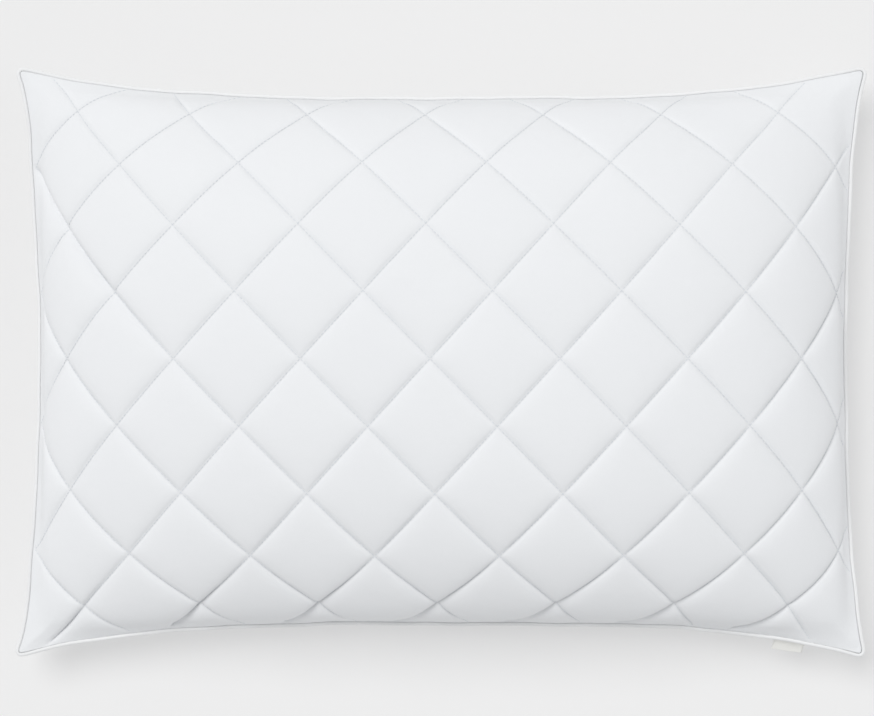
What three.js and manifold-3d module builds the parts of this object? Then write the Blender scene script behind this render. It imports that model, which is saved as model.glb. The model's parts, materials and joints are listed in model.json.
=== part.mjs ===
// A bed pillow with a diamond-quilted cover, piped all round and filled with fibre.
// It lies flat on its underside. Millimetres: +X along its length, +Y to its back edge, +Z up.
import * as THREE from "three";
import { mergeVertices } from "three/addons/utils/BufferGeometryUtils.js";
import Module from "manifold-3d";

const manifold = await Module();
manifold.setup();

// The two panels as sewn, laid flat.
const sewnLength = 711;
const sewnWidth = 508;

// The filled pillow, measured over the piping from corner to corner.
const filledLength = 656;
const filledWidth = 454;
const endPullIn = 14.5; // how far the middle of a short edge lies inside its corners
const sidePullIn = 22; // the same for a long edge
const endPullPower = 1.7; // how that pull fades towards the corners
const sidePullPower = 3.5;
const flarePower = 5; // how little of the flare towards the corners the middle of the cloth takes
const spreadAlong = 0.119; // how much wider the cloth lies in the middle than over the whole length
const spreadAlongPower = 7;
const gatherPower = 2.6; // how that fades towards the long edges, where the seam gathers the cloth
const spreadAcross = 0.25; // and over the whole width, where the edges stand upright
const spreadAcrossPower = 4;

// Heights of the seam and of the two domes that meet in it.
const seamHeight = 52;
const cornerDroop = 8; // how much lower the corners of the seam hang
const crownHeight = 104; // the upper dome above the seam
const crownPower = 2.5;
const bellyDepth = 45; // the lower dome below the seam, pressed flat by the pillow's weight
const bellyFlatness = 2;

// The quilting, in units of a quarter of a diamond.
const diamondLength = 98;
const diamondWidth = 101;
const diamondUnits = 4;
const columns = 27;
const rows = 18;
const middleColumn = 13; // a crossing of two stitch lines
const middleRow = 9;
const shiftAlong = -9.2; // how far that crossing lies from the panel's middle
const shiftAcross = 2;
const skew = -0.025; // how far the cloth lies askew: the back slides this share of its length sideways
const skewPower = 6; // how that fades towards the seam, which stays straight

// Cloth and thread.
const clearance = 0.3;
const faceThickness = 0.5;
const backingThickness = 0.4;
const stitchedWadding = 0.6; // the wadding where a stitch line presses it flat
const puffedWadding = 7; // and in the middle of a diamond
const waddingTrim = 2; // the wadding and its backing stop this far inside the seam
const fillSetback = 1; // and the filling this far inside the edges of the piping strip
const quiltThreadRadius = 0.35;
const threadDip = 0.25; // how far a bar of thread may dip towards the cloth between two stops
const seamTilt = THREE.MathUtils.degToRad(15); // how far the panels' edges lean outwards

// The piping: a cord in a bias strip whose two edges run into the seam.
const cordRadius = 0.8;
const cordSides = 5;
const coverThickness = 0.45;
const coverArcSteps = 6;
const flangeWidth = 8;
const seamThreadRadius = 0.25;
const seamThreadSides = 4;

// The seam runs straight between these many places on each long and each short edge.
const sideSteps = 18;
const endSteps = 10;

// The label, a folded tape that hangs out of the seam below the piping.
const labelStep = 16; // it lies in this step of the front edge
const labelPlace = 0.62; // and this share of the way along it
const labelWidth = 24;
const labelThickness = 0.6;
const labelLength = 12; // what hangs outside the seam
const labelHang = THREE.MathUtils.degToRad(40); // below level, as it rests
const labelTailLength = 7.5; // what is sewn into the seam
const labelRoundSteps = 4; // in each rounded end of the flap
const labelHingeShare = 0.9; // how far out below the piping the tape bends, as a share of the cord's place

// Sizes that follow from those above.
const flangeGap = seamThreadRadius + clearance; // half the space between the cover's two edges
const flangeHalf = flangeGap + coverThickness;
const coverInner = (cordRadius + clearance) / Math.cos(Math.PI / (coverArcSteps + 1));
const coverOuter = coverInner + coverThickness;
const cordOffset = coverOuter + clearance; // from the panels' edge out to the middle of the cord
const pipingReach = cordOffset + coverOuter;
const cornerX = filledLength / 2 - pipingReach;
const cornerY = filledWidth / 2 - pipingReach;
const topStandoff = flangeHalf + 2 * clearance;
const bottomStandoff = flangeHalf + 3 * clearance + labelThickness; // room for the label's tail

// Levels inside a panel, counted outwards from the surface that lies against the filling.
const backingOuter = backingThickness;
const waddingInner = backingOuter + clearance;
const waddingOuter = (puff) => waddingInner + stitchedWadding + (puffedWadding - stitchedWadding) * puff;
const faceInner = (puff) => waddingOuter(puff) + clearance;
const faceOuter = (puff) => faceInner(puff) + faceThickness;
const threadLevel = (puff) => faceOuter(puff) + clearance + threadDip + quiltThreadRadius;

const wholeNumbers = (count) => Array.from({ length: count + 1 }, (_, k) => k);
const everyColumn = wholeNumbers(columns);
const everyRow = wholeNumbers(rows);
const odd = (k) => k % 2 === 1;
const wideColumns = everyColumn.filter((k) => odd(k) || k === 0 || k === columns);
const wideRows = everyRow.filter((k) => odd(k) || k === 0 || k === rows);

// ---- The quilting pattern -------------------------------------------------------------------

const atEnd = (i) => i === 0 || i === columns;
const atSide = (j) => j === 0 || j === rows;
const onBorder = (i, j) => atEnd(i) || atSide(j);
const risingLine = (i, j) => (i - middleColumn - j + middleRow) % diamondUnits === 0;
const fallingLine = (i, j) => (i - middleColumn + j - middleRow) % diamondUnits === 0;
const onStitchLine = (i, j) => risingLine(i, j) || fallingLine(i, j);
const isCrossing = (i, j) => risingLine(i, j) && fallingLine(i, j);

// 0 on every stitch line and along the seam, 1 in the middle of a diamond.
function puffAt(i, j) {
  if (onBorder(i, j)) return 0;
  const across = (Math.PI * (i - middleColumn + j - middleRow)) / diamondUnits;
  const along = (Math.PI * (i - middleColumn - j + middleRow)) / diamondUnits;
  return Math.sqrt(Math.abs(Math.sin(across) * Math.sin(along)));
}

// ---- The shape of the filled pillow ---------------------------------------------------------

const mix = THREE.MathUtils.lerp;
const edgeSign = (t) => (Math.abs(t) === 1 ? t : 0);
const signedPower = (t, power) => Math.sign(t) * Math.abs(t) ** power;
const spread = (t, amount, power) => t * (1 + amount * (1 - Math.abs(t) ** power));
const arch = (t) => 1 - Math.abs(t) ** crownPower;

// The place of a quilting column on the flat panel, from -1 at its left edge to 1 at its right.
function columnPlace(i) {
  if (atEnd(i)) return i === 0 ? -1 : 1;
  if (i === columns - 1) return (columnPlace(i - 1) + 1) / 2;
  const unit = diamondLength / diamondUnits;
  return ((i - middleColumn) * unit + shiftAlong) / (sewnLength / 2);
}

// The place of a quilting row, from -1 at the front edge to 1 at the back.
function rowPlace(j) {
  if (atSide(j)) return j === 0 ? -1 : 1;
  const unit = diamondWidth / diamondUnits;
  return ((j - middleRow) * unit + shiftAcross) / (sewnWidth / 2);
}

// Where a place (flatU, v) of the flat panel lies on the filled pillow in plan, at the seam's height.
function planAt(flatU, v) {
  const u = flatU + skew * v * (1 - Math.abs(flatU) ** skewPower) * (1 - Math.abs(v) ** skewPower);
  const widening = spreadAlong * (1 - Math.abs(v) ** gatherPower);
  const endFlare = endPullIn * Math.abs(v) ** endPullPower * signedPower(u, flarePower);
  const sideFlare = sidePullIn * Math.abs(u) ** sidePullPower * signedPower(v, flarePower);
  return new THREE.Vector3(
    (cornerX - endPullIn) * spread(u, widening, spreadAlongPower) + endFlare,
    (cornerY - sidePullIn) * spread(v, spreadAcross, spreadAcrossPower) + sideFlare,
    seamHeight - cornerDroop * Math.abs(u) ** sidePullPower * Math.abs(v) ** endPullPower,
  );
}

const sideStepPlace = (k) => (2 * k) / sideSteps - 1;
const endStepPlace = (k) => (2 * k) / endSteps - 1;

// A point on the seam, which runs straight over each of its steps.
function seamAt(u, v) {
  const [place, steps, at] = edgeSign(v)
    ? [u, sideSteps, (k) => planAt(sideStepPlace(k), v)]
    : [v, endSteps, (k) => planAt(u, endStepPlace(k))];
  const passed = ((place + 1) / 2) * steps;
  const start = Math.min(Math.floor(passed), steps - 1);
  return at(start).lerp(at(start + 1), passed - start);
}

// A point of a panel's inner surface. side is 1 for the upper panel and -1 for the lower one.
function domeAt(u, v, side) {
  const point = edgeSign(u) || edgeSign(v) ? seamAt(u, v) : planAt(u, v);
  const crown = arch(u) * arch(v);
  const rise = topStandoff + crownHeight * crown;
  const fall = bottomStandoff + bellyDepth * (1 - (1 - crown) ** bellyFlatness);
  point.z += side > 0 ? rise : -fall;
  return point;
}

const slopeStep = 0.01; // the share of the panel over which its slope is taken

// The direction in which a panel's layers are stacked: square to the dome, and nearly upright at the seam.
function stackDirection(i, j, side) {
  const u = columnPlace(i);
  const v = rowPlace(j);
  if (onBorder(i, j)) {
    const outwards = new THREE.Vector3(edgeSign(u), edgeSign(v), 0).normalize();
    return outwards.multiplyScalar(Math.sin(seamTilt)).setZ(side * Math.cos(seamTilt));
  }
  const along = domeAt(u + slopeStep, v, side).sub(domeAt(u - slopeStep, v, side));
  const across = domeAt(u, v + slopeStep, side).sub(domeAt(u, v - slopeStep, side));
  return along.cross(across).normalize().multiplyScalar(side);
}

// A point at a level of a panel. A stitch line runs straight from one crossing to the next.
// trim moves a border point inwards, and pressed is the lowest the floor lets a point be.
function panelPoint(i, j, side, level, trim = 0, pressed = 0) {
  if (onStitchLine(i, j) && !onBorder(i, j) && !odd(i)) {
    const dj = risingLine(i, j) ? 1 : -1;
    const before = panelPoint(i - 1, j - dj, side, level, trim, pressed);
    return before.lerp(panelPoint(i + 1, j + dj, side, level, trim, pressed), 0.5);
  }
  const point = domeAt(columnPlace(i), rowPlace(j), side);
  point.addScaledVector(stackDirection(i, j, side), level(puffAt(i, j)));
  point.x -= edgeSign(columnPlace(i)) * trim;
  point.y -= edgeSign(rowPlace(j)) * trim;
  if (side < 0) point.z = Math.max(point.z, pressed);
  return point;
}

// ---- Meshes ---------------------------------------------------------------------------------

// Joins corner points and triangles into one indexed geometry.
function solidGeometry(points, triangles) {
  const geometry = new THREE.BufferGeometry();
  geometry.setAttribute("position", new THREE.Float32BufferAttribute(points.flatMap((p) => p.toArray()), 3));
  geometry.setIndex(triangles.flat());
  geometry.computeVertexNormals();
  return geometry;
}

// One cell of the panel grid, as a fan of triangles that keeps the stitch lines on its edges. Where no
// crossing is near, the fan leaves a flat facet round the middle of the diamond.
function cellTriangles(left, right, front, back) {
  const outline = [[left, front], [right, front], [right, back], [left, back]];
  const middleOf = (a, b) => [(a[0] + b[0]) / 2, (a[1] + b[1]) / 2];
  for (let k = 0; k < outline.length; k++) {
    const next = outline[(k + 1) % outline.length];
    const middle = middleOf(outline[k], next);
    if (middle.every(Number.isInteger) && onBorder(...middle) && onStitchLine(...middle)) {
      const turned = [...outline.slice(k + 1), ...outline.slice(0, k + 1)];
      return fan([middle, ...turned]);
    }
  }
  const free = outline.every(([i, j]) => !onBorder(i, j) && !isCrossing(i, j));
  const start = outline.findIndex(([i, j]) => (free ? odd(i) !== odd(j) : onStitchLine(i, j)));
  return fan([...outline.slice(start), ...outline.slice(0, start)]);
}

function fan(outline) {
  return wholeNumbers(outline.length - 3).map((k) => [outline[0], outline[k + 1], outline[k + 2]]);
}

// A closed sheet between an upper and a lower surface over the grid of the given columns and rows.
function sheet(gridColumns, gridRows, upper, lower) {
  const points = [];
  const numbers = new Map();
  const numberOf = (i, j) => {
    const key = `${i},${j}`;
    if (!numbers.has(key)) {
      numbers.set(key, points.length);
      points.push(upper(i, j), lower(i, j));
    }
    return numbers.get(key);
  };
  const triangles = [];
  const edges = new Set();
  for (let a = 0; a + 1 < gridColumns.length; a++) {
    for (let b = 0; b + 1 < gridRows.length; b++) {
      const cell = cellTriangles(gridColumns[a], gridColumns[a + 1], gridRows[b], gridRows[b + 1]);
      for (const corners of cell) {
        const [p, q, r] = corners.map(([i, j]) => numberOf(i, j));
        triangles.push([p, q, r], [p + 1, r + 1, q + 1]);
        for (const edge of [[p, q], [q, r], [r, p]]) edges.add(edge.join());
      }
    }
  }
  for (const edge of edges) {
    const [p, q] = edge.split(",").map(Number);
    if (!edges.has(`${q},${p}`)) triangles.push([p, p + 1, q + 1], [p, q + 1, q]);
  }
  return solidGeometry(points, triangles);
}

// One layer of a panel, between two levels.
function panelLayer(side, gridColumns, gridRows, inner, outer, trim, pressedOuter) {
  const pressedInner = pressedOuter + outer(0) - inner(0);
  const outerPoint = (i, j) => panelPoint(i, j, side, outer, trim, pressedOuter);
  const innerPoint = (i, j) => panelPoint(i, j, side, inner, trim, pressedInner);
  return side > 0
    ? sheet(gridColumns, gridRows, outerPoint, innerPoint)
    : sheet(gridColumns, gridRows, innerPoint, outerPoint);
}

// Sweeps a closed outline along a path. ring(k) gives the outline's points at place k.
function sweep(count, ring, closed) {
  const rings = Array.from({ length: count }, (_, k) => ring(k));
  const sides = rings[0].length;
  const triangles = [];
  const spans = closed ? count : count - 1;
  for (let k = 0; k < spans; k++) {
    const here = k * sides;
    const next = ((k + 1) % count) * sides;
    for (let s = 0; s < sides; s++) {
      const t = (s + 1) % sides;
      triangles.push([here + s, next + t, here + t], [here + s, next + s, next + t]);
    }
  }
  if (!closed) {
    const last = (count - 1) * sides;
    for (let s = 1; s + 1 < sides; s++) {
      triangles.push([0, s, s + 1], [last, last + s + 1, last + s]);
    }
  }
  return solidGeometry(rings.flat(), triangles);
}

const mergeDistance = 1e-4;

function toManifold(geometry) {
  const bare = geometry.clone();
  bare.deleteAttribute("normal");
  const merged = mergeVertices(bare, mergeDistance);
  return new manifold.Manifold(
    new manifold.Mesh({
      numProp: 3,
      vertProperties: merged.attributes.position.array,
      triVerts: new Uint32Array(merged.index.array),
    }),
  );
}

function fromManifold(solid) {
  const mesh = solid.getMesh();
  const geometry = new THREE.BufferGeometry();
  geometry.setAttribute("position", new THREE.BufferAttribute(mesh.vertProperties, 3));
  geometry.setIndex(new THREE.BufferAttribute(mesh.triVerts, 1));
  geometry.computeVertexNormals();
  return geometry;
}

// ---- The panels -----------------------------------------------------------------------------

const faceFabric = (side) => panelLayer(side, everyColumn, everyRow, faceInner, faceOuter, 0, 0);

const wadding = (side) =>
  panelLayer(
    side, wideColumns, wideRows, () => waddingInner, waddingOuter, waddingTrim, faceThickness + clearance,
  );

const backing = (side) =>
  panelLayer(side, wideColumns, wideRows, () => 0, () => backingOuter, waddingTrim, 0);

// The four ways a stitch line can leave a stop, counterclockwise seen from above.
const ways = [[1, 1], [-1, 1], [-1, -1], [1, -1]];
const isStop = (i, j) => onStitchLine(i, j) && (onBorder(i, j) || (odd(i) && odd(j)));

// The next stop from (i, j) along a way, or undefined where no stitch line leads that way.
function nextStop(i, j, [di, dj]) {
  const onLine = di === dj ? risingLine(i, j) : fallingLine(i, j);
  const inside = (column, row) => column >= 0 && column <= columns && row >= 0 && row <= rows;
  if (!onLine || !inside(i + di, j + dj)) return undefined;
  return isStop(i + di, j + dj) ? [i + di, j + dj] : [i + 2 * di, j + 2 * dj];
}

// The quilting thread of one panel: a small block at each stop, joined by bars along the lines.
function quiltingThread(side) {
  const points = [];
  const triangles = [];
  const blocks = new Map();
  const quad = (...corners) => {
    const [p, q, r, s] = side > 0 ? corners : corners.reverse();
    triangles.push([p, q, r], [p, r, s]);
  };
  const upper = (block, k) => block + 2 * ((k + 4) % 4);
  const lower = (block, k) => upper(block, k) + 1;
  const stops = everyColumn.flatMap((i) => everyRow.map((j) => [i, j])).filter((at) => isStop(...at));

  for (const at of stops) {
    blocks.set(at.join(), points.length);
    points.push(...blockCorners(at, side));
  }
  for (const at of stops) {
    const here = blocks.get(at.join());
    quad(...ways.map((_, k) => upper(here, k)));
    quad(...ways.map((_, k) => lower(here, k)).reverse());
    ways.forEach((way, k) => {
      const next = nextStop(...at, way);
      if (!next) {
        quad(lower(here, k - 1), lower(here, k), upper(here, k), upper(here, k - 1));
      } else if (k < 2) {
        const there = blocks.get(next.join());
        quad(upper(here, k - 1), upper(there, k + 2), upper(there, k + 1), upper(here, k));
        quad(lower(here, k), lower(there, k + 1), lower(there, k + 2), lower(here, k - 1));
        quad(lower(here, k), upper(here, k), upper(there, k + 1), lower(there, k + 1));
        quad(lower(here, k - 1), lower(there, k + 2), upper(there, k + 2), upper(here, k - 1));
      }
    });
  }
  return solidGeometry(points, triangles);
}

// The eight corners of the block at a stop, one upper and one lower between each two ways.
function blockCorners(at, side) {
  const centre = panelPoint(...at, side, threadLevel);
  const outwards = stackDirection(...at, side);
  const directions = ways.map((way) => {
    const next = nextStop(...at, way);
    return next && panelPoint(...next, side, threadLevel).sub(centre).normalize();
  });
  const quarterTurn = (direction) => outwards.clone().multiplyScalar(side).cross(direction);
  for (let turn = 0; turn < 3; turn++) {
    ways.forEach((_, k) => {
      const before = directions[(k + 3) % 4];
      const opposite = directions[(k + 2) % 4];
      directions[k] ??= opposite ? opposite.clone().negate() : before && quarterTurn(before);
    });
  }
  return ways.flatMap((_, k) => {
    const along = directions[k];
    const across = directions[(k + 1) % 4];
    const towards = along.clone().add(across).divideScalar(along.clone().cross(across).length());
    const corner = (width, height) =>
      centre.clone().addScaledVector(towards, width).addScaledVector(outwards, height);
    return [corner(quiltThreadRadius, quiltThreadRadius), corner(quiltThreadRadius / 2, -quiltThreadRadius)];
  });
}

// The filling takes up the room between the panels, up to a wall just inside the piping strip.
function fibreFill() {
  const surface = (side) => (i, j) => panelPoint(i, j, side, () => -clearance, waddingTrim);
  const room = sheet(wideColumns, wideRows, surface(1), surface(-1));
  const inner = -(flangeWidth + fillSetback);
  const seamSpace = roundTheEdge([
    [inner, -seamHeight],
    [pipingReach, -seamHeight],
    [pipingReach, seamHeight],
    [inner, seamHeight],
  ]);
  return fromManifold(toManifold(room).subtract(toManifold(seamSpace)));
}

// ---- The seam -------------------------------------------------------------------------------

// The middle line of the seam, counterclockwise seen from above.
function seamPath() {
  const sides = wholeNumbers(sideSteps - 1).map(sideStepPlace);
  const ends = wholeNumbers(endSteps - 1).map(endStepPlace);
  return [
    ...sides.map((t) => planAt(t, -1)),
    ...ends.map((t) => planAt(1, t)),
    ...sides.map((t) => planAt(-t, 1)),
    ...ends.map((t) => planAt(-1, -t)),
  ];
}

const outwardOf = (from, to) => new THREE.Vector3(to.y - from.y, from.x - to.x, 0).normalize();

// Sweeps an outline round the edge. Its points are given as (distance outwards, height).
function roundTheEdge(outline) {
  const path = seamPath();
  const ring = (k) => {
    const before = path[(k + path.length - 1) % path.length];
    const after = path[(k + 1) % path.length];
    const arriving = outwardOf(before, path[k]);
    const mitre = arriving.clone().add(outwardOf(path[k], after)).normalize();
    mitre.divideScalar(mitre.dot(arriving));
    return outline.map(([out, up]) => {
      const point = path[k].clone().addScaledVector(mitre, out);
      point.z += up;
      return point;
    });
  };
  return sweep(path.length, ring, true);
}

const arcPoints = (radius, from, to, steps) =>
  wholeNumbers(steps).map((k) => {
    const angle = mix(from, to, k / steps);
    return [cordOffset + radius * Math.cos(angle), radius * Math.sin(angle)];
  });

// The bias strip: round the cord, with both edges running inwards, one above the other.
function pipingCover() {
  const outerTurn = Math.PI - Math.asin(flangeHalf / coverOuter);
  const innerTurn = Math.PI - Math.asin(flangeGap / coverInner);
  return roundTheEdge([
    [-flangeWidth, flangeHalf],
    [-flangeWidth, flangeGap],
    ...arcPoints(coverInner, innerTurn, -innerTurn, coverArcSteps),
    [-flangeWidth, -flangeGap],
    [-flangeWidth, -flangeHalf],
    ...arcPoints(coverOuter, -outerTurn, outerTurn, coverArcSteps),
  ]);
}

const circleOutline = (radius, sides, centre) =>
  wholeNumbers(sides - 1).map((k) => {
    const angle = (2 * Math.PI * k) / sides;
    return [centre + radius * Math.cos(angle), radius * Math.sin(angle)];
  });

const pipingCord = () => roundTheEdge(circleOutline(cordRadius, cordSides, cordOffset));

// The line of thread that closes the strip behind the cord.
const seamThread = () => roundTheEdge(circleOutline(seamThreadRadius, seamThreadSides, -clearance));

// ---- The label ------------------------------------------------------------------------------

// The label's place on the seam: x along the seam to the left, y outwards and z up.
function labelFrame() {
  const left = planAt(sideStepPlace(labelStep), -1);
  const right = planAt(sideStepPlace(labelStep + 1), -1);
  const outward = outwardOf(left, right);
  const leftward = left.clone().sub(right).normalize();
  const upward = leftward.clone().cross(outward);
  return new THREE.Matrix4()
    .makeBasis(leftward, outward, upward)
    .setPosition(left.lerp(right, labelPlace));
}

// The line about which the flap swings, as (distance outwards, height) from the seam.
const hingeOut = labelHingeShare * cordOffset - clearance;
const hingeUp = -(coverOuter + clearance + labelThickness);

// A strip as wide as the label from its outline in (distance outwards, height).
function labelStrip(outline) {
  const ring = (k) => outline.map(([out, up]) => new THREE.Vector3((0.5 - k) * labelWidth, out, up));
  return sweep(2, ring, false).applyMatrix4(labelFrame());
}

// The half that is sewn in: level between the piping and the lower panel, then down under the piping.
function labelTail() {
  const half = labelThickness / 2;
  const level = -(flangeHalf + clearance + half);
  const slope = Math.atan2(level - hingeUp, hingeOut);
  const stop = half + clearance; // short of the hinge line by the flap's rounded end and a gap
  const end = [hingeOut - stop * Math.cos(slope), hingeUp + stop * Math.sin(slope)];
  const square = [half * Math.sin(slope), half * Math.cos(slope)];
  const bend = half * Math.tan(slope / 2);
  return labelStrip([
    [-labelTailLength, level - half],
    [-bend, level - half],
    [end[0] - square[0], end[1] - square[1]],
    [end[0] + square[0], end[1] + square[1]],
    [bend, level + half],
    [-labelTailLength, level + half],
  ]);
}

// The half that hangs out, with both ends rounded.
function labelFlap() {
  const half = labelThickness / 2;
  const along = [Math.cos(labelHang), -Math.sin(labelHang)];
  const square = [Math.sin(labelHang), Math.cos(labelHang)];
  const place = (length, height) => [
    hingeOut + length * along[0] + height * square[0],
    hingeUp + length * along[1] + height * square[1],
  ];
  const roundEnd = (length, start) =>
    wholeNumbers(labelRoundSteps).map((k) => {
      const angle = start + (Math.PI * k) / labelRoundSteps;
      return place(length + half * Math.cos(angle), half * Math.sin(angle));
    });
  return labelStrip([...roundEnd(labelLength - half, -Math.PI / 2), ...roundEnd(0, Math.PI / 2)]);
}

// ---- The pillow -----------------------------------------------------------------------------

const white = 0xf2f3f4;
const warmWhite = 0xf1eee6;
const fibreWhite = 0xf7f7f5;

const pillow = new THREE.Group();
pillow.name = "bed_pillow";

function addPart(name, geometry, color, roughness) {
  const mesh = new THREE.Mesh(geometry, new THREE.MeshStandardMaterial({ color, roughness, metalness: 0 }));
  mesh.name = name;
  pillow.add(mesh);
}

addPart("top_face_fabric", faceFabric(1), white, 0.85);
addPart("top_wadding", wadding(1), fibreWhite, 0.95);
addPart("top_backing", backing(1), warmWhite, 0.9);
addPart("top_quilting_thread", quiltingThread(1), white, 0.6);
addPart("bottom_face_fabric", faceFabric(-1), white, 0.85);
addPart("bottom_wadding", wadding(-1), fibreWhite, 0.95);
addPart("bottom_backing", backing(-1), warmWhite, 0.9);
addPart("bottom_quilting_thread", quiltingThread(-1), white, 0.6);
addPart("fibre_fill", fibreFill(), fibreWhite, 0.95);
addPart("piping_cover", pipingCover(), white, 0.8);
addPart("piping_cord", pipingCord(), fibreWhite, 0.9);
addPart("seam_thread", seamThread(), white, 0.6);
addPart("label_tail", labelTail(), warmWhite, 0.7);
addPart("label_flap", labelFlap(), warmWhite, 0.7);

export default pillow;
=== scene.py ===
"""A bed pillow with a diamond-quilted cover, piped all round, lying flat on its underside."""

import json
import math

import bpy
import numpy as np
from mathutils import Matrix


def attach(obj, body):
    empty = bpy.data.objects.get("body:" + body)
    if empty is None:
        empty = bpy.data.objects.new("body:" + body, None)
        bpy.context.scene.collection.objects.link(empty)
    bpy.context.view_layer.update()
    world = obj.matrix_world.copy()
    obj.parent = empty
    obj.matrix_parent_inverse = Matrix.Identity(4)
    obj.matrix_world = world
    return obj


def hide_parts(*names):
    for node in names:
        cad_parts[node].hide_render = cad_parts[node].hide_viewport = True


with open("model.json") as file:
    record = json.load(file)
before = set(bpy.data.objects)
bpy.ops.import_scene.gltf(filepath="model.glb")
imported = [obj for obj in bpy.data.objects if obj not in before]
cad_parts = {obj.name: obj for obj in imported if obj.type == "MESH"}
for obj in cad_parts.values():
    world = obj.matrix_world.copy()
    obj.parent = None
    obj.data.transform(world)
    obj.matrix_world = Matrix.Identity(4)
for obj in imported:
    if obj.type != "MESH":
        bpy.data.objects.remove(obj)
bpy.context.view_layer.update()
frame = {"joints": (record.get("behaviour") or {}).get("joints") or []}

# ---- Sizes, in millimetres unless they say otherwise -------------------------------------------
# Every shape is worked out in millimetres; solid() turns it into metres.

MM = 0.001

# The two panels laid flat: as sewn, and without what the long seams gather in.
SEWN_LENGTH = 711
SEWN_WIDTH = 508
GATHERED_IN = 18  # at the front and at the back edge
PANEL_LENGTH = SEWN_LENGTH
PANEL_WIDTH = SEWN_WIDTH - 2 * GATHERED_IN
GATHER_REACH = 56  # how far into a panel the gathers pull

# The filled pillow, as the CAD model has it: the seam's corners, and how it runs between them.
CORNER_X = 324.358
CORNER_Y = 223.358
END_PULL_IN = 14.5  # how far the middle of each short seam lies inside the corners
SIDE_PULL_IN = 22  # and the middle of each long one
END_PULL_POWER = 1.7
SIDE_PULL_POWER = 3.5
FLARE_POWER = 5
SPREAD_ALONG = 0.119  # how much longer the diamonds lie in the middle than as sewn
SPREAD_ALONG_POWER = 7
GATHER_POWER = 2.6  # how that dies away towards the front and the back edge
SPREAD_ACROSS = 0.25  # and how much wider they lie
SPREAD_ACROSS_POWER = 4
SKEW = -0.025  # how far the quilting leans
SKEW_POWER = 6
SEAM_HEIGHT = 52
CORNER_DROOP = 8
CROWN_HEIGHT = 104
CROWN_POWER = 2.5
BELLY_DEPTH = 45
TOP_STANDOFF = 1.6  # how far the plies stand off the dome, away from the seam
BOTTOM_STANDOFF = 2.5

# The quilting.
DIAMOND_LENGTH = 98
DIAMOND_WIDTH = 101
SHIFT_ALONG = -9.2
SHIFT_ACROSS = 2
FINE_STEPS = 48  # grid steps over one diamond
COARSE_STEPS = 12

# The plies, as levels above the surface that lies against the filling.
STITCHED_LEVEL = 2.1  # the face fabric along a stitch line, over the standoff
PUFF_HEIGHT = 4.4  # and how much higher it is in the middle of a diamond
PUFF_FLATTER = 0.5  # the share of that lost towards the back edge
PUFF_ROUNDNESS = 0.55
PINCH_WIDTH = 5.5  # how far a stitch line pinches the puffs beside it
CROWN_SHARE = 0.4  # of a puff's height, the part that is round all over
PUFF_FADE = 20  # how far from the seam the puffs reach their height
EDGE_LEVEL = 1.35  # where the face runs into the seam
LEVEL_BLEND = 26  # how far from the seam the plies reach their thickness
EDGE_BLEND = 16  # how far from the seam the plies are laid upright
TUCK = 3.2  # how far a panel's flank is drawn in, between the corners
TUCK_START = 8  # how near the seam that sets in
TUCK_REACH = 60
WADDING_OUTER = 0.65  # as shares of the face's level
WADDING_INNER = 0.15
BACKING_OUTER = 0.08
FILLING_LEVEL = -1.0
PLY_SETBACK = 3  # how far the wadding and the backing stop inside the face fabric
FILLING_SETBACK = 14
FILLING_SETBACK_REACH = 30
WADDING_FLOOR = 1.2  # how high each ply of the lower panel lies over the floor
BACKING_FLOOR = 2.4
FILLING_FLOOR = 3.4
PRESSED_PLY = 0.4  # the thickness of a ply that is pressed flat

# The piping and its seam.
CORD_RADIUS = 0.8
COVER_RADIUS = 1.67
ROLL_OFFSET = 1.97  # from the seam out to the middle of the cord
ROLL_STEPS = 15
ROLL_OPENING = math.radians(17)  # half of what the strip leaves open towards the seam
ROLL_GATHERS = 0.035  # how much the strip's radius varies along it
SECTION_STEP = 0.7  # of the strip's cloth, between two places of its section
FLANGE_WIDTH = 8
FLANGE_NECK = 1.0  # where the strip's two edges meet the roll
FLANGE_LEVEL = 0.45  # the strip's edges above and below the seam's middle
ALLOWANCE = ((1.2, 0.62), (FLANGE_WIDTH, 0.6))  # the face's turned-in edge: in, and off the middle
SEAM_THREAD_RADIUS = 0.22
SEAM_THREAD_OFFSET = -0.3
SNUG = 0.72  # how far the panels' edges reach over the strip, up against the roll

# The label.
LABEL_WIDTH = 24
LABEL_LENGTH = 13.5
LABEL_STEPS = 12  # across its width
LABEL_HANG = math.radians(38)  # below the level
TAPE_THICKNESS = 0.24
TAIL_THICKNESS = 0.5
FOLD_RADIUS = 0.42
PINCHED = 0.35  # how much of that radius the loop keeps at the seam
LABEL_ASIDE = 2  # towards the pillow's right end
LABEL_LOW = 0.35  # how far the flap's middle lies below its hinge line
# The middle line of the tail inside the seam: out and up from the hinge.
TAIL_LINE = ((-9.2, 0.75), (-6, 0.75), (-3, 0.72), (-1.6, 0.5), (-0.75, 0.25))

rng = np.random.default_rng(7)

# ---- The flat panel ----------------------------------------------------------------------------


def grid_lines(length, diamond, shift, steps):
    """The numbers and places of the grid lines over one side of a panel: its two edges, and between
    them the lines that pass through the quilting's crossings."""
    pitch = diamond / steps
    first = math.ceil((-length / 2 - shift) / pitch)
    last = math.floor((length / 2 - shift) / pitch)
    number = np.arange(first - 1, last + 2)
    place = shift + pitch * number
    place[0] = -length / 2
    place[-1] = length / 2
    return number, place


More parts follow.
